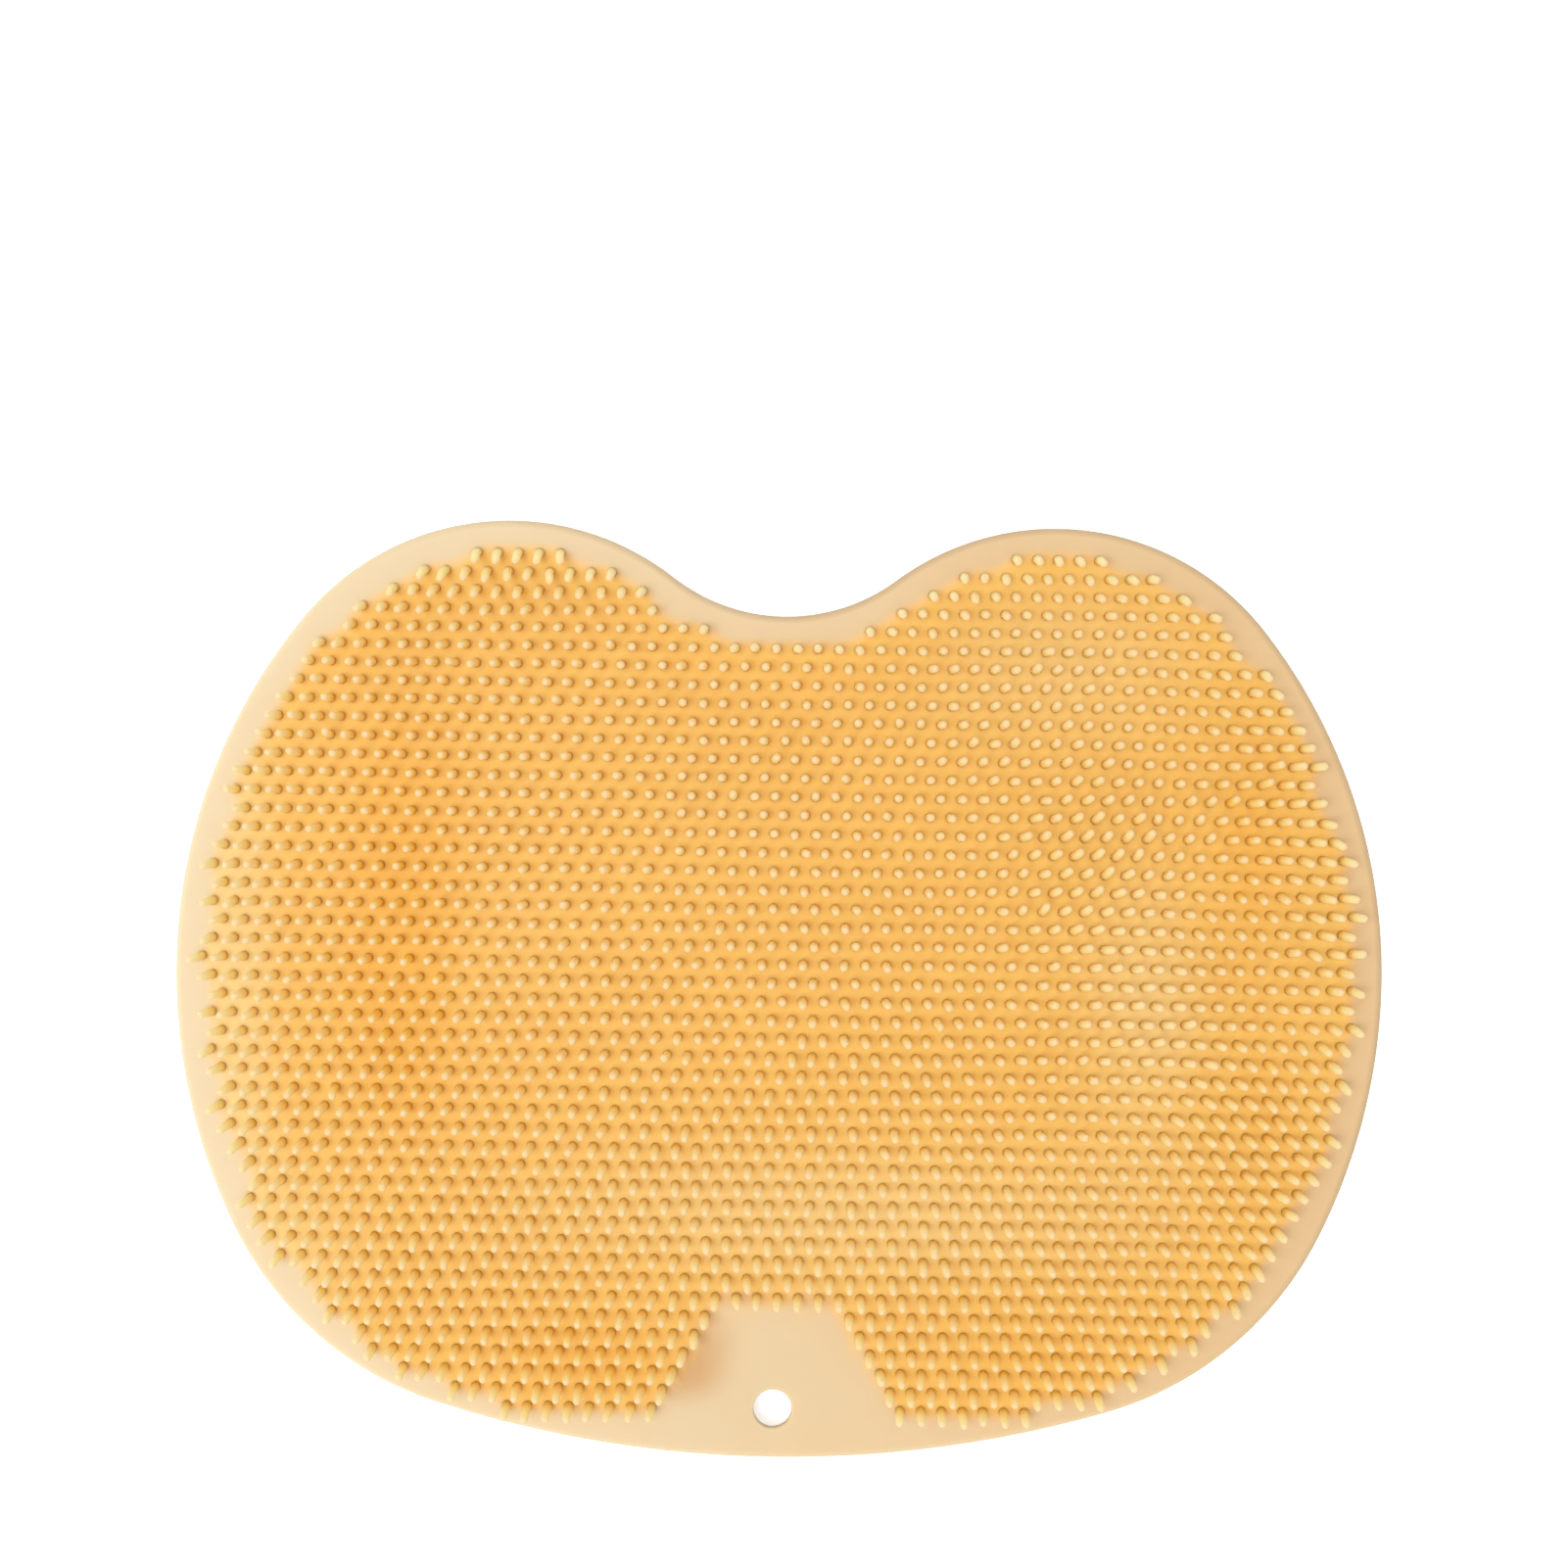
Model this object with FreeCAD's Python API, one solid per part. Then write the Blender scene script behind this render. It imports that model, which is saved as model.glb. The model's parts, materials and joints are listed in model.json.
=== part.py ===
import FreeCAD, Part
import math
import os

from FreeCAD import Vector

# A shower foot scrubber, moulded in one piece of soft silicone. Sizes are in millimetres.
# The mat lies flat with +Z up, and its suction cups stand on the floor at Z = 0.
# X runs across both feet, and Y from the heels, where the hang hole is, to the toes.

# Outline seen from above, as tangent arcs: heel, corner, lower and upper side, toe lobe and notch.
# The corner's circle is set up from the heel line, and the lobe's circle is set in from the side line.
# The widest line lies a drop below the level halfway between those circles' centres.
mat_width = 380.0
mat_length = 294.0
widest_line_drop = 11.5
corner_radius = 108.0
corner_set_up = 11.0
lower_side_radius = 185.0
lobe_set_in = 20.0
notch_depth = 29.0
notch_radius = 58.0

# Sheet
sheet_thickness = 3.0
edge_chamfer = 0.9
hang_hole_diameter = 12.0
hang_hole_from_heel = 15.5

# Bristles: faceted spikes in staggered rows, inside a bare rim and round a bare patch at the hole
bristle_length = 9.0
bristle_root_radius = 3.0
bristle_sides = 3
bristle_pitch = 9.0
row_pitch = 7.8
bare_rim = 8.5
patch_depth = 46.0
patch_width_inside = 42.0
patch_width_at_rim = 78.0

# Suction cups: hollow faceted cones in staggered rows under the sheet
cup_height = 5.0
cup_radius = 9.0
cup_neck_radius = 5.0
cup_lip = 0.9
cup_hollow = 3.2
cup_sides = 12
cup_pitch = 74.0
cup_row_pitch = 58.0
cup_edge_gap = 10.0
cup_hole_gap = 6.0

heel_y = -mat_length / 2
toe_y = mat_length / 2
sheet_bottom = cup_height
sheet_top = sheet_bottom + sheet_thickness
hole_centre = Vector(0, heel_y + hang_hole_from_heel, 0)


def touching_radius(radius, set_in, run):
    """Radius of the arc that leaves a bounding line and closes round a smaller circle, a run along it.

    The circle has the given radius and stays set_in clear of the line.
    """
    return radius + set_in / 2 + run**2 / (2 * set_in)


def mirrored(point):
    """The same point on the other foot's side."""
    return Vector(-point.x, point.y, point.z)


def towards(start, end, length):
    """The point at this length from start, in the direction of end."""
    return start + (end - start).normalize() * length


def arc(centre, start, end):
    """The shorter arc about a centre from one point to another."""
    halfway = (start - centre) + (end - centre)
    middle = centre + halfway.normalize() * (start - centre).Length
    return Part.Arc(start, middle, end).toShape()


# Arcs on the +X side. The lobe's radius is the one at which the lobe and the notch touch.
lobe_line = mat_width / 2 - lobe_set_in
lobe_radius = lobe_line + notch_depth - math.sqrt(2 * notch_depth * (lobe_line + notch_radius))
lobe_centre = Vector(lobe_line - lobe_radius, toe_y - lobe_radius, 0)
notch_centre = Vector(0, toe_y - notch_depth + notch_radius, 0)
corner_y = heel_y + corner_set_up + corner_radius
widest_y = (corner_y + lobe_centre.y) / 2 - widest_line_drop
upper_side_radius = touching_radius(lobe_radius, lobe_set_in, lobe_centre.y - widest_y)
upper_side_centre = Vector(mat_width / 2 - upper_side_radius, widest_y, 0)
lower_side_centre = Vector(mat_width / 2 - lower_side_radius, widest_y, 0)
corner_reach = math.sqrt((lower_side_radius - corner_radius) ** 2 - (widest_y - corner_y) ** 2)
corner_centre = Vector(lower_side_centre.x + corner_reach, corner_y, 0)
heel_radius = touching_radius(corner_radius, corner_set_up, corner_centre.x)
heel_centre = Vector(0, heel_y + heel_radius, 0)


def outline(inset):
    """The closed outline of the mat, moved inwards by a constant distance."""
    centres = [corner_centre, lower_side_centre, upper_side_centre, lobe_centre]
    stops = [
        towards(heel_centre, corner_centre, heel_radius - inset),
        towards(lower_side_centre, corner_centre, lower_side_radius - inset),
        Vector(mat_width / 2 - inset, widest_y, 0),
        towards(upper_side_centre, lobe_centre, upper_side_radius - inset),
        towards(lobe_centre, notch_centre, lobe_radius - inset),
    ]
    pieces = list(zip(centres, stops, stops[1:]))
    heel = arc(heel_centre, mirrored(stops[0]), stops[0])
    right = [arc(centre, start, end) for centre, start, end in pieces]
    notch = arc(notch_centre, stops[-1], mirrored(stops[-1]))
    left = [arc(mirrored(centre), mirrored(end), mirrored(start)) for centre, start, end in pieces[::-1]]
    return Part.Wire([heel] + right + [notch] + left)


def flat_sheet():
    """The kidney-shaped sheet with chamfered edges and its hang hole."""
    levels = [
        (edge_chamfer, sheet_bottom),
        (0, sheet_bottom + edge_chamfer),
        (0, sheet_top - edge_chamfer),
        (edge_chamfer, sheet_top),
    ]
    sections = [outline(inset).translated(Vector(0, 0, height)) for inset, height in levels]
    blank = Part.makeLoft(sections, True, True)
    foot = hole_centre + Vector(0, 0, sheet_bottom)
    return blank.cut(Part.makeCylinder(hang_hole_diameter / 2, sheet_thickness, foot))


def bare_patch():
    """The trapezoid round the hang hole that carries no bristles, widening towards the rim."""
    rim_y = heel_y + bare_rim
    inside_y = heel_y + patch_depth
    corners = [
        Vector(-patch_width_at_rim / 2, rim_y, 0),
        Vector(patch_width_at_rim / 2, rim_y, 0),
        Vector(patch_width_inside / 2, inside_y, 0),
        Vector(-patch_width_inside / 2, inside_y, 0),
    ]
    return Part.Face(Part.makePolygon(corners + corners[:1]))


def staggered(area, pitch, rows_apart):
    """Points of area in rows either side of Y = 0, every other row moved along by half a pitch."""
    columns = int(mat_width / pitch)
    rows = int(mat_length / rows_apart)
    points = []
    for row in range(-rows, rows + 1):
        shift = pitch / 2 * (row % 2)
        for column in range(-columns, columns + 1):
            point = Vector(column * pitch + shift, row * rows_apart, 0)
            if area.isInside(point, 1e-3, True):
                points.append(point)
    return points


def ring(foot, sides, radius, height):
    """The corners of a level regular polygon, or its centre alone where the radius is nothing."""
    centre = foot + Vector(0, 0, height)
    if radius == 0:
        return [centre]
    turns = [math.radians(90 + 360 * corner / sides) for corner in range(sides)]
    return [centre + Vector(math.cos(turn), math.sin(turn), 0) * radius for turn in turns]


def faceted(foot, sides, profile):
    """A solid of flat facets round an upright axis, through (radius, height) pairs from end to end."""
    rings = [ring(foot, sides, radius, height) for radius, height in profile]
    outlines = [end for end in (rings[0], rings[-1]) if len(end) > 1]
    for lower, upper in zip(rings, rings[1:]):
        for corner in range(sides):
            low = [lower[corner - 1], lower[corner]] if len(lower) > 1 else lower
            high = [upper[corner], upper[corner - 1]] if len(upper) > 1 else upper
            outlines.append(low + high)
    return Part.Solid(Part.Shell([Part.Face(Part.makePolygon(line + line[:1])) for line in outlines]))


def bristle(foot):
    """A straight spike that tapers from its root to its tip."""
    return faceted(foot, bristle_sides, [(bristle_root_radius, 0), (0, bristle_length)])


def bristle_field():
    """Every bristle, standing on the sheet inside the bare rim and clear of the bare patch."""
    field = Part.Face(outline(bare_rim + bristle_root_radius)).cut(bare_patch())
    feet = staggered(field.Faces[0], bristle_pitch, row_pitch)
    return [bristle(foot + Vector(0, 0, sheet_top)) for foot in feet]


def suction_cup(foot):
    """A hollow cone standing on its flat lip, with its neck under the sheet."""
    profile = [
        (0, cup_hollow),
        (cup_radius - cup_lip, 0),
        (cup_radius, 0),
        (cup_neck_radius, cup_height),
    ]
    return faceted(foot, cup_sides, profile).removeSplitter()


def suction_cups():
    """Cups under the whole sheet, clear of its edge and of the hang hole."""
    area = Part.Face(outline(cup_edge_gap + cup_radius))
    keep_off = hang_hole_diameter / 2 + cup_hole_gap + cup_radius
    feet = staggered(area, cup_pitch, cup_row_pitch)
    return [suction_cup(foot) for foot in feet if (foot - hole_centre).Length > keep_off]


bristles = bristle_field()
cups = suction_cups()
mat = flat_sheet().fuse(bristles + cups).Solids[0]

os.makedirs("parts", exist_ok=True)
mat.exportStep("parts/scrubber_mat.step")
print("bristles:", len(bristles), "suction cups:", len(cups), "volume in cm3:", round(mat.Volume / 1000, 1))
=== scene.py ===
import json
import math

import bpy
import numpy as np
from bpy.props import FloatProperty, FloatVectorProperty, IntProperty, PointerProperty
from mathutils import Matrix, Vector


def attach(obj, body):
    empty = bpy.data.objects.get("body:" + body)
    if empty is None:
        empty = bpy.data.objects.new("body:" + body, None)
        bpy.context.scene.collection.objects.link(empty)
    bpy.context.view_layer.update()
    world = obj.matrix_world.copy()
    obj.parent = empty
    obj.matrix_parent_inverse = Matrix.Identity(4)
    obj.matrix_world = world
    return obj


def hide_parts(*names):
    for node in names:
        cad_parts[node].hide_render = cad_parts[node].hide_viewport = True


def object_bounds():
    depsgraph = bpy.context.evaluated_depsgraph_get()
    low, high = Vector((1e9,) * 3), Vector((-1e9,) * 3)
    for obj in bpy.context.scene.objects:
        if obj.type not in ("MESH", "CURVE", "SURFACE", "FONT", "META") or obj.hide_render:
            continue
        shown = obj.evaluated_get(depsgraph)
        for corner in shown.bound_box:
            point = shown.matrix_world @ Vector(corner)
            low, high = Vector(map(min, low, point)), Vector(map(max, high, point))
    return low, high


bl_info = {
    "name": "Shower foot scrubber",
    "version": (1, 0, 0),
    "blender": (4, 5, 0),
    "location": "View3D > Sidebar > Scrubber",
    "description": "A soft silicone mat with bristles and suction cups, built round its fixed frame",
    "category": "Add Mesh",
}

NODE = "scrubber_mat"
BODY = "root"

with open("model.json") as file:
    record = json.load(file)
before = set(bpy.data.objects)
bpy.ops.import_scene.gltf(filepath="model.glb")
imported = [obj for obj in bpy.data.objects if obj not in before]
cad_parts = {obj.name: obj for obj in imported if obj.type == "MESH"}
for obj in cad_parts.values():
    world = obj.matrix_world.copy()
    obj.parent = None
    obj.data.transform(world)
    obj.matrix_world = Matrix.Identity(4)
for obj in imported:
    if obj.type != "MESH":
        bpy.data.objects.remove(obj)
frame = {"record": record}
cad_low, cad_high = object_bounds()
hang_hole = next(mount for mount in frame["record"]["mounts"] if mount["name"] == "hang_hole")
hole_centre = np.array(hang_hole["pos_m"])
hole_radius = hang_hole["dims"]["r_mm"] / 1000
sheet_thickness = hang_hole["dims"]["length_mm"] / 1000
sheet_bottom = hole_centre[2] - sheet_thickness / 2
sheet_top = hole_centre[2] + sheet_thickness / 2


def metres(name, description, default):
    """A property that holds a length."""
    return FloatProperty(name=name, description=description, default=default, unit="LENGTH", precision=5)


def factor(name, description, default):
    """A property that holds a number from 0 to 1."""
    return FloatProperty(
        name=name, description=description, default=default, min=0, max=1, subtype="FACTOR"
    )


def colour(name, description, default):
    """A property that holds a linear colour."""
    return FloatVectorProperty(
        name=name, description=description, default=default, size=3, min=0, max=1, subtype="COLOR"
    )


class MatSizes(bpy.types.PropertyGroup):
    """The sheet's outline, as tangent arcs, and its edges."""

    width: metres("Width", "Widest size, across both feet", cad_high.x - cad_low.x)
    length: metres("Length", "From the heel edge to the toe lobes", cad_high.y - cad_low.y)
    widest_drop: metres("Widest line drop", "Below the level between the corner and lobe centres", 0.0115)
    corner_radius: metres("Corner radius", "Of the two corners beside the heel edge", 0.108)
    corner_set_up: metres("Corner set-up", "From the heel line to the corner's circle", 0.011)
    side_radius: metres("Lower side radius", "Of the sides below the widest line", 0.185)
    lobe_set_in: metres("Lobe set-in", "From the side line to the toe lobe's circle", 0.020)
    notch_depth: metres("Notch depth", "Of the dip between the toe lobes", 0.029)
    notch_radius: metres("Notch radius", "Of the dip between the toe lobes", 0.058)
    hole_round: metres("Hole rounding", "Radius of the hang hole's edges", 0.0006)


class BristleSizes(bpy.types.PropertyGroup):
    """The bristle field: its lattice, its bare places and one bristle."""

    pitch: metres("Pitch", "Between bristles in a row", 0.00651)
    row_pitch: metres("Row pitch", "Between rows", 0.00583)
    first_x: metres("First bristle X", "Where one bristle stands, which sets the others", -0.0023)
    first_y: metres("First bristle Y", "Where one bristle stands, which sets the others", 0.0028)
    root_radius: metres("Root radius", "Where a bristle leaves the sheet", 0.0015)
    tip_radius: metres("Tip radius", "Just below the rounded tip", 0.00125)
    sunk: metres("Sunk", "How far a bristle's foot is hidden in the sheet", 0.0004)
    bare_rim: metres("Bare rim", "From the edge to the first bristles", 0.0085)
    heel_rim: metres("Bare rim at the heel", "The same for the rows next to the heel line", 0.0055)
    heel_margin: metres("Heel margin", "From the heel line to the first row", 0.0140)
    patch_depth: metres("Patch depth", "Of the bare patch, from the heel edge", 0.046)
    patch_inside: metres("Patch width inside", "Of the bare patch's inner side", 0.042)
    patch_at_rim: metres("Patch width at the rim", "Of the bare patch's outer side", 0.078)
    # The outer bristles are paler with painted light, where the field's open edge catches more of it.
    pale_reach: metres("Pale reach", "How far the paler bristles reach into the field from its edge", 0.012)
    sides: IntProperty(name="Sides", description="Facets round a bristle", default=10, min=3)
    seed: IntProperty(name="Seed", description="Of the small differences between bristles", default=7)


class CupSizes(bpy.types.PropertyGroup):
    """The suction cups and their lattice under the sheet."""

    pitch: metres("Pitch", "Between cups in a row", 0.074)
    row_pitch: metres("Row pitch", "Between rows", 0.058)
    radius: metres("Lip radius", "Of a cup's rim on the floor", 0.009)
    neck: metres("Neck radius", "Where a cup joins the sheet", 0.0042)
    sunk: metres("Sunk", "How far a cup's neck is hidden in the sheet", 0.0003)
    wall: metres("Lip wall", "Thickness of the lip", 0.0007)
    hollow: metres("Hollow", "Height of the hollow at the middle", 0.0032)
    edge_gap: metres("Edge gap", "From the sheet's edge to a cup", 0.010)
    hole_gap: metres("Hole gap", "From the hang hole to a cup", 0.006)


class Silicone(bpy.types.PropertyGroup):
    """The colours of the silicone, how far light travels in it, and its gloss."""

    tip: colour("Tip", "The thin tips, which let light through", (0.98, 0.56, 0.29))
    body: colour("Body", "The middle of a bristle", (0.99, 0.67, 0.28))
    # Painted shade: the root is a little deeper amber than the body, where the bristles stand close.
    root: colour("Root", "Where a bristle leaves the sheet", (0.99, 0.63, 0.22))
    # Between is painted shade and amber bounce light on the sheet among the bristles.
    between: colour("Between", "The sheet between the bristles", (0.98, 0.625, 0.175))
    # Bare to Warm: painted shade, deeper towards +X, away from the lamp; the cups show both colours only as
    # faint clouds.
    bare: colour("Bare sheet", "The sheet without bristles, towards -X", (0.80, 0.68, 0.465))
    warm: colour("Warm sheet", "The sheet without bristles, towards +X", (0.75, 0.55, 0.305))
    shade: colour("Shaded sheet", "Beside the block of bristles left of the hang hole", (0.68, 0.43, 0.20))
    # Edge is painted shade on the rounded edge, on the sides away from the lamp.
    edge: colour("Edge", "The sheet's rounded edge on the toe side and the +X side", (0.52, 0.37, 0.22))
    # Deep and Pale: painted shade and painted light in broad bands over the field; Pale also paints light on
    # the outer bristles.
    deep: colour("Deep tone", "The richer bands of the field", (0.96, 0.56, 0.105))
    pale: colour("Pale tone", "The lighter bands of the field, and its outer bristles", (0.99, 0.73, 0.35))
    sheet_spread: metres("Spread in the sheet", "How far light travels in the sheet and the cups", 0.003)
    bristle_spread: metres("Spread in bristles", "How far light travels in the bristles", 0.006)
    roughness: factor("Roughness", "Where the skin is glossiest", 0.42)
    dulling: factor("Dulling", "Roughness that noise adds at most", 0.16)


class Studio(bpy.types.PropertyGroup):
    """The camera straight above the mat, and the light."""

    camera_x: metres("Camera X", "Where the camera stands", 0.0007)
    camera_y: metres("Camera Y", "Where the camera stands", 0.0652)
    distance: metres("Camera distance", "Above the sheet", 0.600)
    framed: metres("Framed width", "Width of the sheet's level that the picture holds", 0.4932)
    roll: FloatProperty(
        name="Roll", description="Of the camera", default=math.radians(0.86), subtype="ANGLE"
    )
    lamp_reach: metres("Lamp distance", "From the mat to the key lamp", 3.0)
    lamp_size: metres("Lamp size", "Side of the square key lamp", 1.7)
    lamp_power: FloatProperty(name="Lamp power", description="Of the key lamp", default=46.0, unit="POWER")
    fill: factor("Fill", "Strength of the light from all round", 0.70)


class Wire:
    """A socket of a material's nodes. Arithmetic on it, from either side, adds Math nodes."""

    def __init__(self, tree, socket=None):
        self.tree = tree
        self.socket = socket

    def node(self, kind, inputs=None, output=0, **settings):
        """Adds a node, sets its settings and then its inputs, and gives one of its outputs."""
        made = self.tree.nodes.new(kind)
        for name, value in settings.items():
            setattr(made, name, value)
        for name, value in (inputs or {}).items():
            if isinstance(value, Wire):
                self.tree.links.new(value.socket, made.inputs[name])
            else:
                made.inputs[name].default_value = value
        return Wire(self.tree, made.outputs[output])

    def combine(self, operation, first, second):
        """A Math node's result for two wires, or a wire and a number."""
        return self.node("ShaderNodeMath", {0: first, 1: second}, operation=operation)

    def attribute(self, name):
        """The number that note() kept for each point of the piece."""
        return self.node("ShaderNodeAttribute", output="Fac", attribute_name=name)

    def __add__(self, other):
        return self.combine("ADD", self, other)

    def __mul__(self, other):
        return self.combine("MULTIPLY", self, other)

    def __sub__(self, other):
        return self.combine("SUBTRACT", self, other)

    def __rsub__(self, other):
        return self.combine("SUBTRACT", other, self)

    __radd__ = __add__
    __rmul__ = __mul__

    def rise(self, low, high):
        """0 below low, 1 above high, and a smooth step between."""
        limits = {"Value": self, "From Min": low, "From Max": high}
        return self.node("ShaderNodeMapRange", limits, interpolation_type="SMOOTHSTEP")

    def blend(self, first, second):
        """A colour that goes from the first to the second as this wire goes from 0 to 1."""
        return self.node("ShaderNodeMix", {0: self, 6: first, 7: second}, output=2, data_type="RGBA")


def rgba(value):
    """A property's colour with full alpha."""
    return (*value, 1.0)


def tangent_radius(radius, set_in, run):
    """Radius of the arc that leaves a bounding line and closes round a smaller circle, a run along it.

    The circle has the given radius and is set in from the line.
    """
    return radius + set_in / 2 + run**2 / (2 * set_in)


def outline_arcs(mat):
    """The outline as arcs, anticlockwise from the middle of the heel: centre, radius, bulge, start and end.

    Angles are in radians. Bulge is 1 for an arc that curves outwards and -1 for the notch. Neighbouring arcs
    touch on the line through their centres, so the angle of that line ends one arc and starts the next.
    """
    heel_y = cad_low.y
    toe_y = heel_y + mat.length
    side_x = mat.width / 2
    lobe_line = side_x - mat.lobe_set_in
    lobe_radius = lobe_line + mat.notch_depth
    lobe_radius -= math.sqrt(2 * mat.notch_depth * (lobe_line + mat.notch_radius))
    lobe = (lobe_line - lobe_radius, toe_y - lobe_radius)
    notch = (0, toe_y - mat.notch_depth + mat.notch_radius)
    corner_y = heel_y + mat.corner_set_up + mat.corner_radius
    widest_y = (corner_y + lobe[1]) / 2 - mat.widest_drop
    upper_radius = tangent_radius(lobe_radius, mat.lobe_set_in, lobe[1] - widest_y)
    upper = (side_x - upper_radius, widest_y)
    lower = (side_x - mat.side_radius, widest_y)
    reach = math.sqrt((mat.side_radius - mat.corner_radius) ** 2 - (widest_y - corner_y) ** 2)
    corner = (lower[0] + reach, corner_y)
    heel_radius = tangent_radius(mat.corner_radius, mat.corner_set_up, corner[0])
    heel = (0, heel_y + heel_radius)

    def bearing(start, end):
        return math.atan2(end[1] - start[1], end[0] - start[0])

    heel_end = bearing(heel, corner)
    corner_end = bearing(lower, corner)
    side_end = bearing(upper, lobe)
    lobe_end = bearing(lobe, notch)
    right = [
        (*heel, heel_radius, 1, -math.pi / 2, heel_end),
        (*corner, mat.corner_radius, 1, heel_end, corner_end),
        (*lower, mat.side_radius, 1, corner_end, 0),
        (*upper, upper_radius, 1, 0, side_end),
        (*lobe, lobe_radius, 1, side_end, lobe_end),
        (*notch, mat.notch_radius, -1, lobe_end - math.pi, -math.pi / 2),
    ]
    left = [
        (-centre_x, centre_y, radius, bulge, math.pi - end, math.pi - start)
        for centre_x, centre_y, radius, bulge, start, end in right[::-1]
    ]
    return np.array(right + left)


def outline_walk(mat, count):
    """Points and outward normals at equal steps along the outline.

    A share of the whole length picks an arc and a share of its angle, and the point is the arc's centre plus
    its radius times that angle's cosine and sine.
    """
    arcs = outline_arcs(mat)
    lengths = arcs[:, 2] * np.abs(arcs[:, 5] - arcs[:, 4])
    ends = np.cumsum(lengths)
    along = np.arange(count) / count * ends[-1]
    pick = np.searchsorted(ends, along, side="right")
    share = 1 - (ends[pick] - along) / lengths[pick]
    centre, radius, bulge = arcs[pick, :2], arcs[pick, 2], arcs[pick, 3]
    angle = arcs[pick, 4] + share * (arcs[pick, 5] - arcs[pick, 4])
    away = np.stack([np.cos(angle), np.sin(angle)], -1)
    return centre + radius[:, None] * away, bulge[:, None] * away


def edge_depth(mat, x, y):
    """How far points lie inside the outline: the least distance to any arc whose sector holds the point."""
    depth = np.full(np.shape(x), np.inf)
    for centre_x, centre_y, radius, bulge, start, end in outline_arcs(mat):
        turn = np.arctan2(y - centre_y, x - centre_x)
        within = (turn - min(start, end)) % (2 * np.pi) <= abs(end - start)
        gap = bulge * (radius - np.hypot(x - centre_x, y - centre_y))
        depth = np.where(within, np.minimum(depth, gap), depth)
    return depth


def field_depth(mat, bristles, x, y):
    """How far points lie inside the bristle field: inside the bare rim and outside the bare patch.

    The rim narrows over the last rows towards the heel, where the field ends in a straight row. The patch is
    a trapezoid, so its distance is the greater of those past its inner side and past its slanting side.
    """
    heel_y = cad_low.y
    slope = (bristles.patch_at_rim - bristles.patch_inside) / 2 / (bristles.patch_depth - bristles.bare_rim)
    past_inside = y - heel_y - bristles.patch_depth
    past_side = (np.abs(x) - bristles.patch_inside / 2 + past_inside * slope) / math.hypot(1, slope)
    narrow_from = -0.37 * mat.length
    narrow_over = 0.06 * mat.length
    heelward = np.clip((narrow_from - y) / narrow_over, 0, 1)
    rim = bristles.bare_rim + (bristles.heel_rim - bristles.bare_rim) * heelward
    within = np.minimum(edge_depth(mat, x, y) - rim, y - heel_y - bristles.heel_margin)
    return np.minimum(within, np.maximum(past_inside, past_side))


def staggered(mat, pitch, row_pitch):
    """Places in rows either side of the middle, every other row moved along by half a pitch."""
    columns = int(mat.width / pitch)
    rows = int(mat.length / row_pitch)
    row, column = np.meshgrid(np.arange(-rows, rows + 1), np.arange(-columns, columns + 1), indexing="ij")
    return ((column + row % 2 / 2) * pitch).ravel(), (row * row_pitch).ravel()


def bristle_feet(mat, bristles):
    """Where the bristles stand: the lattice places that lie inside the field."""
    x, y = staggered(mat, bristles.pitch, bristles.row_pitch)
    x += bristles.first_x
    y += bristles.first_y
    chosen = field_depth(mat, bristles, x, y) > 0
    return x[chosen], y[chosen]


def soft_spots(spots, x, y):
    """The sum of soft oval spots, each given as its centre, its half width and half height and its strength.

    A spot falls off as a bell: its strength times e to minus the squares of the two distances from its
    centre, each over its half size.
    """
    return sum(
        strength * np.exp(-(((x - middle_x) / half_width) ** 2) - ((y - middle_y) / half_height) ** 2)
        for middle_x, middle_y, half_width, half_height, strength in spots
    )


def painted_light_and_shade(x, y):
    """How deep (towards 1) or pale (towards -1) the silicone between and in the bristles looks.

    A deep band of painted shade runs down each side and a deep block lies each side of the patch. Painted
    light makes pale a strip along the left rim, the lower left, places beside the deep bands, a band above
    the patch and the right toe lobe.
    """
    spots = [
        (-0.118, 0.015, 0.026, 0.085, 0.75),
        (0.150, 0.045, 0.020, 0.045, 0.70),
        (0.155, -0.035, 0.018, 0.032, 0.60),
        (-0.060, -0.113, 0.034, 0.020, 0.55),
        (0.082, -0.115, 0.034, 0.020, 0.45),
        (-0.176, -0.002, 0.018, 0.110, -1.60),
        (-0.150, -0.085, 0.028, 0.030, -0.80),
        (0.118, -0.002, 0.024, 0.045, -1.05),
        (0.165, 0.000, 0.014, 0.070, -0.50),
        (0.020, -0.070, 0.110, 0.026, -1.00),
        (0.090, 0.105, 0.050, 0.030, -0.80),
        (-0.085, 0.008, 0.018, 0.030, -0.40),
    ]
    return soft_spots(spots, x, y)


def patch_shade(x, y):
    """The soft shade on the bare patch, along the block of bristles at its left side."""
    spots = [
        (-0.028, -0.121, 0.012, 0.009, 0.80),
        (-0.021, -0.109, 0.010, 0.011, 0.55),
    ]
    return soft_spots(spots, x, y)


def finished(name, points, faces, material):
    """A smooth mesh piece in its place, standing for the mat's CAD node and riding on its body."""
    mesh = bpy.data.meshes.new(name)
    mesh.from_pydata(points, [], faces)
    mesh.polygons.foreach_set("use_smooth", np.ones(len(mesh.polygons), bool))
    mesh.materials.append(material)
    piece = bpy.data.objects.new(name, mesh)
    bpy.context.collection.objects.link(piece)
    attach(piece, BODY)
    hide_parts(NODE)
    return piece


def note(piece, name, values):
    """Keeps one number for each point of a piece, for its material to read."""
    attribute = piece.data.attributes.new(name, "FLOAT", "POINT")
    attribute.data.foreach_set("value", np.asarray(values, np.float32).ravel())


def lay_out(piece, places):
    """Gives a piece the map its colours can be baked on: a place in the unit square for each face corner."""
    piece.data.uv_layers.new(name="OFBake").uv.foreach_set("vector", places.astype(np.float32).ravel())


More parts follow.
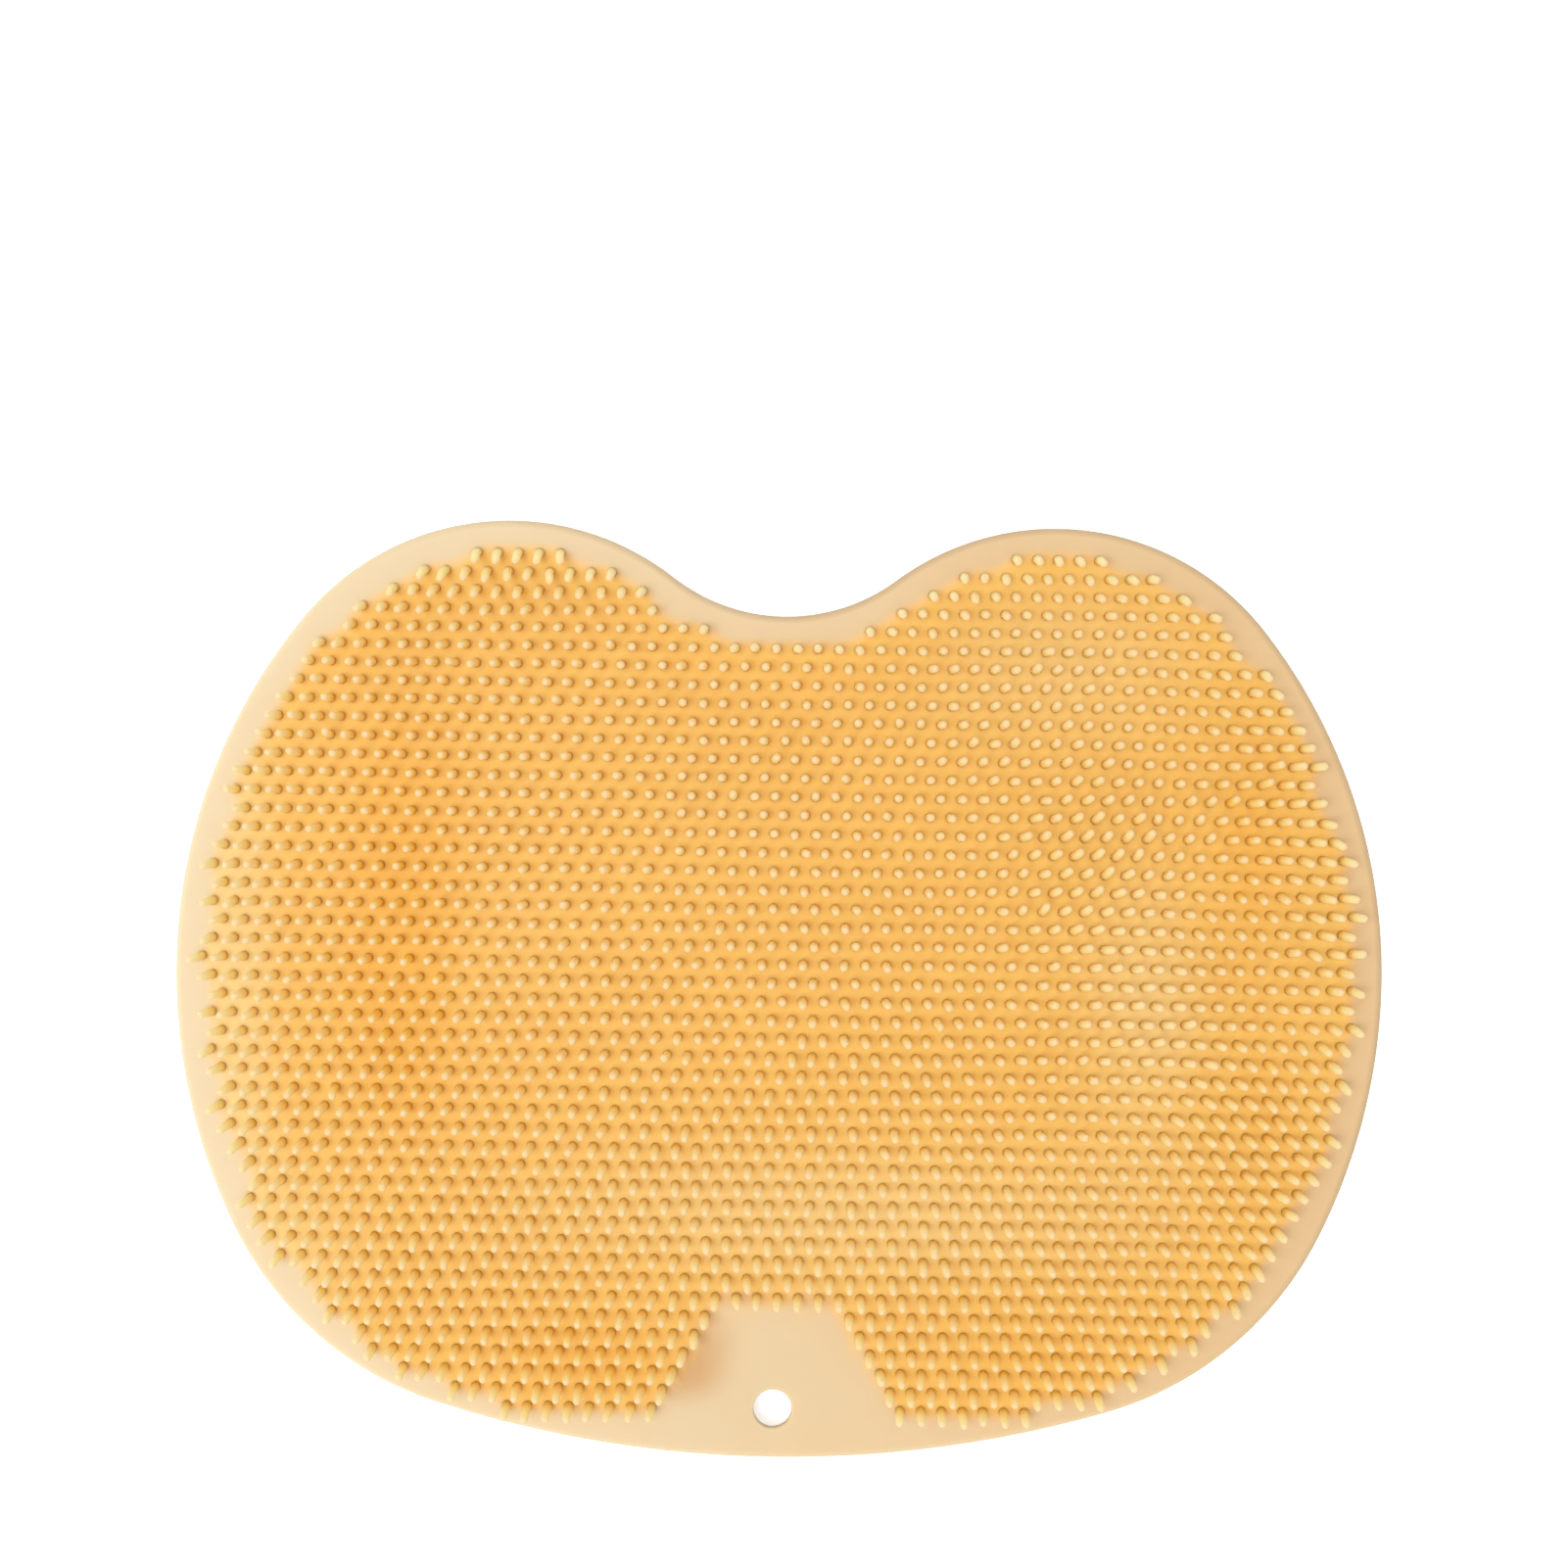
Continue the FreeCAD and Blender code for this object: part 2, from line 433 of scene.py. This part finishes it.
def grid_faces(across, along, wrap):
    """Four-sided faces of a grid of along rows with across points each.

    The grid is closed across, and also along if wrap is true.
    """
    row, column = np.meshgrid(np.arange(along - (not wrap)), np.arange(across), indexing="ij")
    after = (column + 1) % across
    above = (row + 1) % along
    corners = [row * across + column, row * across + after, above * across + after, above * across + column]
    return np.stack(corners, -1).reshape(-1, 4)


def fan(first, sides, point):
    """Triangles from each side of a ring of points, of which first is the first, to one more point."""
    corner = np.arange(sides)
    return np.stack([first + corner, first + (corner + 1) % sides, np.full(sides, point)], -1)


def repeated(parts, copies, per):
    """The faces of all copies of a shape that has per points, part by part of its faces."""
    start = (np.arange(copies) * per)[:, None, None]
    return [face for part in parts for face in (start + part).reshape(-1, part.shape[1]).tolist()]


def silicone_material(name, look, paint, spread):
    """Satin silicone whose colour comes from paint(wire, place), and in which light travels about spread.

    Slow noise dulls the gloss in places, and fine noise gives the moulded skin its bump.
    """
    material = bpy.data.materials.new(name)
    material.use_nodes = True
    tree = material.node_tree
    shader = tree.nodes["Principled BSDF"]
    wire = Wire(tree)
    place = wire.node("ShaderNodeTexCoord", output="Object")
    cloud = wire.node("ShaderNodeTexNoise", {"Vector": place, "Scale": 70.0, "Detail": 3.0})
    grain = wire.node("ShaderNodeTexNoise", {"Vector": place, "Scale": 2200.0, "Detail": 2.0})
    skin = wire.node("ShaderNodeBump", {"Height": grain, "Strength": 0.12, "Distance": 0.0002})
    tree.links.new(paint(wire, place).socket, shader.inputs["Base Color"])
    tree.links.new((look.roughness + cloud * look.dulling).socket, shader.inputs["Roughness"])
    tree.links.new(skin.socket, shader.inputs["Normal"])
    shader.inputs["IOR"].default_value = 1.41
    shader.inputs["Subsurface Weight"].default_value = 1.0
    shader.inputs["Subsurface Radius"].default_value = (1.0, 0.94, 0.88)
    shader.inputs["Subsurface Scale"].default_value = spread
    shader.inputs["Specular IOR Level"].default_value = 0.25
    return material


def bristle_paint(look):
    """Amber from the root to the tip, whose colour is its own, with the stem deeper or paler by its tone."""

    def paint(wire, place):
        height = wire.attribute("height")
        tone = wire.attribute("tone")
        # The stem's deeper root is painted shade.
        stem = height.rise(0.0, 0.6).blend(rgba(look.root), rgba(look.body))
        # Deep tone is painted shade and pale tone painted light, on the upper stem; a small part of the tone
        # is each bristle's own.
        toned = tone.rise(0.0, 1.0).blend(stem, rgba(look.deep))
        paleness = tone.rise(0.0, -1.0) * height.rise(0.1, 0.7)
        paler = paleness.blend(toned, rgba(look.pale))
        return height.rise(0.75, 1.0).blend(paler, rgba(look.tip))

    return paint


def sheet_paint(look):
    """Amber between the bristles, deeper or paler by tone, and pale where the sheet is bare.

    The amber between the bristles is painted shade and bounce light, and the tone paints broad shade and
    light.
    The bare sheet warms towards +X in faint clouds, which is painted shade, is browner where it is shaded,
    and darker at the rim towards the toe edge and +X, which is painted shade on the edge away from the lamp.
    """

    def paint(wire, place):
        field = wire.attribute("field")
        tone = wire.attribute("tone")
        shade = wire.attribute("shade")
        rim = wire.attribute("rim")
        cloud = wire.node("ShaderNodeTexNoise", {"Vector": place, "Scale": 25.0, "Detail": 4.0})
        across = wire.node("ShaderNodeSeparateXYZ", {"Vector": place}, output="X")
        up = wire.node("ShaderNodeSeparateXYZ", {"Vector": place}, output="Y")
        drift = (cloud - 0.5) * 0.12
        # Painted shade: the bare sheet deepens towards +X, away from the lamp, in faint clouds.
        shade_to_plus_x = (across + drift).rise(-0.22, 0.22)
        bare = shade_to_plus_x.blend(rgba(look.bare), rgba(look.warm))
        shaded = shade.rise(0.0, 1.0).blend(bare, rgba(look.shade))
        # Painted shade on the rounded edge, towards the toe edge and +X, away from the lamp.
        away_from_lamp = (across + up).rise(-0.05, 0.15)
        edge_shaded = (rim * away_from_lamp).blend(shaded, rgba(look.edge))
        # Painted shade and amber bounce light on the sheet among the bristles, deepened where the tone
        # paints shade.
        between = tone.rise(0.0, 1.0).blend(rgba(look.between), rgba(look.deep))
        # Painted light where the tone is pale.
        paleness = tone.rise(0.0, -1.5) * 0.85
        paler = paleness.blend(between, rgba(look.pale))
        return field.blend(edge_shaded, paler)

    return paint


def cup_paint(look):
    """Faint clouds of the bare sheet's two colours."""

    def paint(wire, place):
        cloud = wire.node("ShaderNodeTexNoise", {"Vector": place, "Scale": 60.0, "Detail": 3.0})
        return cloud.rise(0.3, 0.8).blend(rgba(look.bare), rgba(look.warm))

    return paint


class SCRUBBER_OT_sheet(bpy.types.Operator):
    """The kidney-shaped sheet, with its rounded edge and its hang hole"""

    bl_idname = "scrubber.sheet"
    bl_label = "Sheet"

    # Points round the outline, and lines of the parts of a half section
    around = 512
    edge_steps = 6
    hole_steps = 4
    top_lines = 60
    under_lines = 12
    rim_lines = 6
    # Where the rim's evenly spaced lines start, and how much the lines before them crowd towards it
    rim_width = 0.008
    crowding = 1.5
    # Radius of a foot's bell, and the share of the bells' sum over which the field's painted shade fades in
    bell = 0.0060
    fade_from = 0.40
    fade_over = 0.50
    # Width of the painted shade along the rounded edge
    edge_shade_width = 0.0024

    def half_section(self, mat, lines):
        """Half of the section, from the hole over a flat face to the rim, as four numbers for each line.

        They are the reach (0 at the hole, 1 at the rim), the inset from the outline, the set-back from the
        hole and the drop from the face. The hole's edge and the rim are quarter circles, and the lines over
        the face crowd towards the rim.
        """
        edge = sheet_thickness / 2
        lip = mat.hole_round
        lip_turn = np.linspace(0, np.pi / 2, self.hole_steps, endpoint=False)
        edge_turn = np.linspace(0, np.pi / 2, self.edge_steps)
        across = 1 - (1 - np.linspace(0, 1, lines)) ** self.crowding
        inwards = np.linspace(self.rim_width, edge, self.rim_lines + 2)[1:-1]
        stretches = [
            (0, self.rim_width, lip * (1 - np.cos(lip_turn)), lip * (1 - np.sin(lip_turn))),
            (across, self.rim_width, lip, 0),
            (1, inwards, lip, 0),
            (1, edge * (1 - np.sin(edge_turn)), lip, edge * (1 - np.cos(edge_turn))),
        ]
        return np.concatenate([np.stack(np.broadcast_arrays(*stretch), -1) for stretch in stretches])

    def among_bristles(self, sizes, feet, points):
        """1 among the bristles and 0 outside their field, with a smooth step over its outermost rows.

        Every foot adds a bell that falls with the square of its distance. Among the bristles the bells add
        up to their own area over that of one lattice cell, and the step is taken on the share of that sum.
        """
        full = np.pi * self.bell**2 / (sizes.pitch * sizes.row_pitch)
        gaps = [(line[:, None] - feet) / self.bell for line in points]
        crowd = np.array([np.exp(-np.einsum("ijk,ijk->ij", gap, gap)).sum(1) for gap in gaps]) / full
        share = np.clip((crowd - self.fade_from) / self.fade_over, 0, 1)
        return share * share * (3 - 2 * share)

    def execute(self, context):
        """Every section runs from the hole to a point of the outline, over the top and back underneath.

        A point of it lies between the hole's circle and the inset outline by its reach. Underneath, the
        order is turned over and the line that both halves share at the rim is left out.
        """
        mat = context.scene.scrubber_mat
        rim, normal = outline_walk(mat, self.around)
        upper = self.half_section(mat, self.top_lines)
        lower = self.half_section(mat, self.under_lines)[-2::-1]
        reach, inset, back, drop = np.concatenate([upper, lower]).T[:, :, None, None]
        over = np.arange(len(reach))[:, None, None] < len(upper)
        height = np.where(over, sheet_top - drop, sheet_bottom + drop)
        to_rim = rim - hole_centre[:2]
        to_rim /= np.linalg.norm(to_rim, axis=1, keepdims=True)
        hole = hole_centre[:2] + to_rim * (hole_radius + back)
        flat = hole + (rim - normal * inset - hole) * reach
        points = np.concatenate([flat, np.broadcast_to(height, (*flat.shape[:2], 1))], -1)
        faces = grid_faces(self.around, len(height), True)[:, ::-1]
        look = context.scene.scrubber_silicone
        material = silicone_material("silicone_sheet", look, sheet_paint(look), look.sheet_spread)
        sheet = finished("sheet", points.reshape(-1, 3), faces.tolist(), material)
        sizes = context.scene.scrubber_bristles
        feet = np.stack(bristle_feet(mat, sizes), -1)
        # The field mask is where the sheet gets its painted shade among the bristles.
        field = np.zeros(flat.shape[:2])
        field[:len(upper)] = self.among_bristles(sizes, feet, flat[:len(upper)])
        x, y = flat[..., 0], flat[..., 1]
        note(sheet, "field", field)
        # Tone is painted broad shade and light.
        note(sheet, "tone", painted_light_and_shade(x, y))
        note(sheet, "shade", patch_shade(x, y))
        # The rim mask: painted shade on the rounded edge, 1 at the outline and 0 past the shade's width.
        note(sheet, "rim", np.clip(1 - edge_depth(mat, x, y) / self.edge_shade_width, 0, 1))
        return {"FINISHED"}


class SCRUBBER_OT_bristles(bpy.types.Operator):
    """The field of soft bristles, each bent a little its own way"""

    bl_idname = "scrubber.bristles"
    bl_label = "Bristles"

    # The middle ring's share of the length, and the last ring's shares of the tip's depth and radius
    middle = 0.45
    tip_ring_share = 0.3
    tip_ring_radius = 0.7
    # How much chance shortens a bristle, turns its tip and shifts its tone
    shortening = 0.02
    own_turn = 0.09
    own_tone = 0.12
    # How much painted light pales the outermost bristles
    rim_painted_light = 0.8
    # Where the foot and the unrolled skin lie in a bristle's cell of the map
    map_margin = 0.05
    map_foot = (0.5, 0.07)
    map_stem = (0.15, 0.8)

    def lean(self, x, y, chance):
        """The turn of each tip from upright, in radians, along X and along Y.

        Tips turn outwards near both sides, and towards the heel in the heel half and near the toe edge,
        most of all in the left lobe. On the +X side one soft spot turns them outwards and towards the toes,
        and another, in the right lobe, inwards and towards the heel. Two slow waves swirl them, most on the
        +X side, and every bristle gets a small turn of its own.
        """
        side = 0.4 * np.clip((np.abs(x) - 0.12) / 0.06, 0, 1) ** 1.4
        toe = 0.65 * np.clip((y - 0.08) / 0.06, 0, 1) ** 1.3
        heel = 0.4 * np.clip((0.05 - y) / 0.12, 0, 1) + 0.05 * np.clip((-0.08 - y) / 0.05, 0, 1)
        left_lobe = 0.5 * np.clip((y - 0.108) / 0.022, 0, 1) * np.exp(-(((x + 0.085) / 0.05) ** 2))
        rise = soft_spots([(0.098, 0.015, 0.034, 0.10, 0.55)], x, y)
        slant = soft_spots([(0.13, 0.10, 0.035, 0.035, 1.0)], x, y)
        swirl = 0.08 + soft_spots([(0.14, 0.02, 0.04, 0.09, 0.2)], x, y)
        swirl_x = swirl * np.sin(70 * x + 45 * y)
        swirl_y = swirl * np.cos(95 * y - 40 * x)
        turn_x = np.sign(x) * side + 0.5 * rise - 0.12 * slant + swirl_x + self.own_turn * chance[:, 0]
        turn_y = rise - toe - left_lobe - heel - 0.25 * slant + swirl_y + self.own_turn * chance[:, 1]
        return turn_x, turn_y

    def flat_skin(self, sides, share):
        """The unit square's places for the corners of one bristle's walls, cap and foot.

        The skin lies as it is unrolled, its turn across and its height up, with the foot as a small disc
        below.
        """
        low, tall = self.map_stem
        heights = low + tall * np.clip(share, 0, 1)
        wide = 1 - 2 * self.map_margin
        row, column = np.meshgrid(np.arange(len(heights) - 2), np.arange(sides), indexing="ij")
        across = self.map_margin + wide * np.stack([column, column + 1, column + 1, column], -1) / sides
        upwards = heights[np.stack([row, row, row + 1, row + 1], -1)]
        side = np.arange(sides)
        cap_across = self.map_margin + wide * np.stack([side, side + 1, side + 0.5], -1) / sides
        cap_upwards = np.broadcast_to(heights[[-2, -2, -1]], (sides, 3))
        turn = -2 * np.pi * side / sides
        foot = self.map_foot + self.map_margin * np.stack([np.cos(turn), np.sin(turn)], -1)
        return [
            np.stack([across, upwards], -1).reshape(-1, 4, 2),
            np.stack([cap_across, cap_upwards], -1),
            foot[None],
        ]

    def execute(self, context):
        """Each bristle is rings round a stem that bends as an arc.

        At a share s of its length the stem has turned by s times its tip's turn. The rings narrow from the
        foot, over one in the middle and one below the tip, to a last small one and a point that round it.
        """
        mat = context.scene.scrubber_mat
        sizes = context.scene.scrubber_bristles
        x, y = bristle_feet(mat, sizes)
        count = len(x)
        chance = np.random.default_rng(sizes.seed).normal(size=(count, 4))
        stem = cad_high.z - sheet_top
        tip_cap = sizes.tip_radius / stem
        share = np.array([
            -sizes.sunk / stem,
            self.middle,
            1 - tip_cap,
            1 - self.tip_ring_share * tip_cap,
            1,
        ])
        radius = np.array([
            sizes.root_radius,
            (sizes.root_radius + sizes.tip_radius) / 2,
            sizes.tip_radius,
            sizes.tip_radius * self.tip_ring_radius,
            0,
        ])
        turn_x, turn_y = self.lean(x, y, chance)
        turn = np.maximum(np.hypot(turn_x, turn_y), 1e-6)
        way = np.stack([turn_x, turn_y], -1) / turn[:, None]
        tall = stem * (1 - self.shortening * np.abs(chance[:, 2]))
        angle = share[:, None] * turn
        out = tall * share[:, None] * np.sin(angle / 2) * np.sinc(angle / 2 / np.pi)
        up = sheet_top + tall * share[:, None] * np.sinc(angle / np.pi)
        centre = np.concatenate([np.stack([x, y], -1) + out[..., None] * way, up[..., None]], -1)
        forward = np.concatenate([np.cos(angle)[..., None] * way, -np.sin(angle)[..., None]], -1)
        sideways = np.stack([-way[:, 1], way[:, 0], np.zeros(count)], -1)
        spin = np.arange(sizes.sides) * 2 * np.pi / sizes.sides
        ring = np.cos(spin)[:, None] * forward[:-1, :, None] + np.sin(spin)[:, None] * sideways[:, None]
        rings = centre[:-1, :, None] + radius[:-1, None, None, None] * ring
        levels = len(share) - 1
        per = levels * sizes.sides + 1
        skins = np.empty((count, per, 3))
        skins[:, :-1] = rings.transpose(1, 0, 2, 3).reshape(count, -1, 3)
        skins[:, -1] = centre[-1]
        walls = grid_faces(sizes.sides, levels, False)
        cap = fan((levels - 1) * sizes.sides, sizes.sides, per - 1)
        foot = np.arange(sizes.sides)[None, ::-1]
        faces = repeated([walls, cap, foot], count, per)
        look = context.scene.scrubber_silicone
        material = silicone_material("silicone_bristles", look, bristle_paint(look), look.bristle_spread)
        field = finished("bristles", skins.reshape(-1, 3), faces, material)
        heights = np.append(np.repeat(np.clip(share[:-1], 0, 1), sizes.sides), 1)
        note(field, "height", np.tile(heights, count))
        cells = math.ceil(math.sqrt(count))
        cell = np.stack([np.arange(count) % cells, np.arange(count) // cells], -1)[:, None, None]
        flat_parts = self.flat_skin(sizes.sides, share)
        lay_out(field, np.concatenate([((cell + part) / cells).reshape(-1, 2) for part in flat_parts]))
        # Tone: painted broad shade and light, painted light on the outermost bristles, and each bristle's
        # own small shift.
        rimward = np.clip(1 - field_depth(mat, sizes, x, y) / sizes.pale_reach, 0, 1)
        tone = painted_light_and_shade(x, y) - self.rim_painted_light * rimward + self.own_tone * chance[:, 3]
        note(field, "tone", np.repeat(tone, per))
        return {"FINISHED"}


class SCRUBBER_OT_cups(bpy.types.Operator):
    """The suction cups under the sheet"""

    bl_idname = "scrubber.cups"
    bl_label = "Suction cups"

    # Points round a cup, and levels of its neck and of its hollow
    around = 40
    steps = 9
    # The power of the neck's flare, and the lip's points as shares of its wall
    flare = 1.7
    lip_top = 0.6
    lip_inset = np.array([0.12, 0.5, 0.95])
    lip_lift = np.array([0.15, 0.0, 0.12])

    def execute(self, context):
        """A cup is a profile carried round an upright axis, with both ends closed by a fan to the axis.

        The profile runs from inside the sheet down a neck that flares to the lip, round the lip and up the
        hollow, whose section is a quarter ellipse.
        """
        mat = context.scene.scrubber_mat
        sizes = context.scene.scrubber_cups
        x, y = staggered(mat, sizes.pitch, sizes.row_pitch)
        from_hole = np.hypot(x - hole_centre[0], y - hole_centre[1])
        clear = from_hole > hole_radius + sizes.hole_gap + sizes.radius
        chosen = clear & (edge_depth(mat, x, y) > sizes.edge_gap + sizes.radius)
        fall = np.linspace(0, 1, self.steps)
        neck_radius = sizes.neck + (sizes.radius - sizes.neck) * fall**self.flare
        neck_height = (sheet_bottom + sizes.sunk) * (1 - fall) + sizes.wall * self.lip_top * fall
        lip_radius = sizes.radius - sizes.wall * self.lip_inset
        lip_height = sizes.wall * self.lip_lift
        turn = fall[1:-1] * np.pi / 2
        hollow_radius = (sizes.radius - sizes.wall) * np.cos(turn)
        hollow_height = lip_height[-1] + (sizes.hollow - lip_height[-1]) * np.sin(turn)
        radius = np.concatenate([neck_radius, lip_radius, hollow_radius])
        height = np.concatenate([neck_height, lip_height, hollow_height])
        spin = np.arange(self.around) * 2 * np.pi / self.around
        ring = np.stack([np.cos(spin), np.sin(spin)], -1)
        skin = np.concatenate([
            radius[:, None, None] * ring,
            np.broadcast_to(height[:, None, None], (len(height), self.around, 1)),
        ], -1).reshape(-1, 3)
        skin = np.concatenate([skin, [[0, 0, neck_height[0]], [0, 0, sizes.hollow]]])
        feet = np.stack([x[chosen], y[chosen], np.zeros(chosen.sum())], -1)
        points = (feet[:, None] + skin).reshape(-1, 3)
        walls = grid_faces(self.around, len(height), False)[:, ::-1]
        top = fan(0, self.around, len(skin) - 2)
        inside = fan((len(height) - 1) * self.around, self.around, len(skin) - 1)[:, [1, 0, 2]]
        faces = repeated([walls, top, inside], len(feet), len(skin))
        look = context.scene.scrubber_silicone
        material = silicone_material("silicone_cups", look, cup_paint(look), look.sheet_spread)
        finished("suction_cups", points, faces, material)
        return {"FINISHED"}


class SCRUBBER_OT_studio(bpy.types.Operator):
    """The white floor, the soft light and the camera straight above"""

    bl_idname = "scrubber.studio"
    bl_label = "Studio"

    floor_size = 6.0
    floor_white = 0.9
    floor_lift = 0.55
    lamp_bearing = math.radians(195)
    lamp_height = math.radians(70)

    def seen(self, wire):
        """1 for rays from the camera, and for those that a shine or a clear piece sends on."""
        names = ["Is Camera Ray", "Is Glossy Ray", "Is Transmission Ray"]
        camera, glossy, clear = [wire.node("ShaderNodeLightPath", output=name) for name in names]
        return wire.combine("MAXIMUM", wire.combine("MAXIMUM", camera, glossy), clear)

    def execute(self, context):
        """The floor is near white, and what is seen of it is lifted to show white but for shadow."""
        studio = context.scene.scrubber_studio
        half = self.floor_size / 2
        mesh = bpy.data.meshes.new("floor")
        corners = [(-half, -half, 0), (half, -half, 0), (half, half, 0), (-half, half, 0)]
        mesh.from_pydata(corners, [], [(0, 1, 2, 3)])
        floor = bpy.data.objects.new("floor", mesh)
        context.collection.objects.link(floor)
        paper = bpy.data.materials.new("floor_paper")
        paper.use_nodes = True
        tree = paper.node_tree
        shader = tree.nodes["Principled BSDF"]
        shader.inputs["Base Color"].default_value = (self.floor_white,) * 3 + (1,)
        shader.inputs["Roughness"].default_value = 1.0
        shader.inputs["Specular IOR Level"].default_value = 0.0
        shader.inputs["Emission Color"].default_value = (1, 1, 1, 1)
        wire = Wire(tree)
        tree.links.new((self.seen(wire) * self.floor_lift).socket, shader.inputs["Emission Strength"])
        mesh.materials.append(paper)

        world = bpy.data.worlds.new("studio_air")
        context.scene.world = world
        world.use_nodes = True
        air = world.node_tree.nodes["Background"]
        air.inputs["Color"].default_value = (1, 1, 1, 1)
        seen = self.seen(Wire(world.node_tree))
        world.node_tree.links.new((studio.fill + seen * (1 - studio.fill)).socket, air.inputs["Strength"])

        lamp = bpy.data.lights.new("key_lamp", "AREA")
        lamp.size = studio.lamp_size
        lamp.energy = studio.lamp_power
        key = bpy.data.objects.new("key_lamp", lamp)
        context.collection.objects.link(key)
        flat = math.cos(self.lamp_height) * studio.lamp_reach
        key.location = (
            math.cos(self.lamp_bearing) * flat,
            math.sin(self.lamp_bearing) * flat,
            math.sin(self.lamp_height) * studio.lamp_reach,
        )
        key.rotation_euler = (math.pi / 2 - self.lamp_height, 0, self.lamp_bearing + math.pi / 2)

        camera = bpy.data.cameras.new("camera")
        camera.lens = camera.sensor_width * studio.distance / studio.framed
        camera.clip_start = 0.01
        eye = bpy.data.objects.new("camera", camera)
        context.collection.objects.link(eye)
        eye.location = (studio.camera_x, studio.camera_y, sheet_top + studio.distance)
        eye.rotation_euler = (0, 0, studio.roll)
        context.scene.camera = eye
        context.scene.view_settings.view_transform = "Standard"
        return {"FINISHED"}


class SCRUBBER_PT_panel(bpy.types.Panel):
    """Lists the pieces, in the order they are built"""

    bl_idname = "SCRUBBER_PT_panel"
    bl_label = "Shower foot scrubber"
    bl_space_type = "VIEW_3D"
    bl_region_type = "UI"
    bl_category = "Scrubber"

    def draw(self, context):
        for operator in OPERATORS:
            self.layout.operator(operator.bl_idname)
        for name in GROUPS:
            box = self.layout.box()
            group = getattr(context.scene, name)
            for key in group.bl_rna.properties.keys():
                if key not in ("rna_type", "name"):
                    box.prop(group, key)


OPERATORS = (SCRUBBER_OT_studio, SCRUBBER_OT_sheet, SCRUBBER_OT_bristles, SCRUBBER_OT_cups)
GROUPS = {
    "scrubber_mat": MatSizes,
    "scrubber_bristles": BristleSizes,
    "scrubber_cups": CupSizes,
    "scrubber_silicone": Silicone,
    "scrubber_studio": Studio,
}


def register():
    for kind in (*GROUPS.values(), *OPERATORS, SCRUBBER_PT_panel):
        bpy.utils.register_class(kind)
    for name, kind in GROUPS.items():
        setattr(bpy.types.Scene, name, PointerProperty(type=kind))


def unregister():
    for name in GROUPS:
        delattr(bpy.types.Scene, name)
    for kind in (SCRUBBER_PT_panel, *OPERATORS, *GROUPS.values()):
        bpy.utils.unregister_class(kind)


def main():
    """Builds the studio and every piece."""
    register()
    bpy.ops.scrubber.studio()
    bpy.ops.scrubber.sheet()
    bpy.ops.scrubber.bristles()
    bpy.ops.scrubber.cups()


if __name__ == "__main__":
    main()
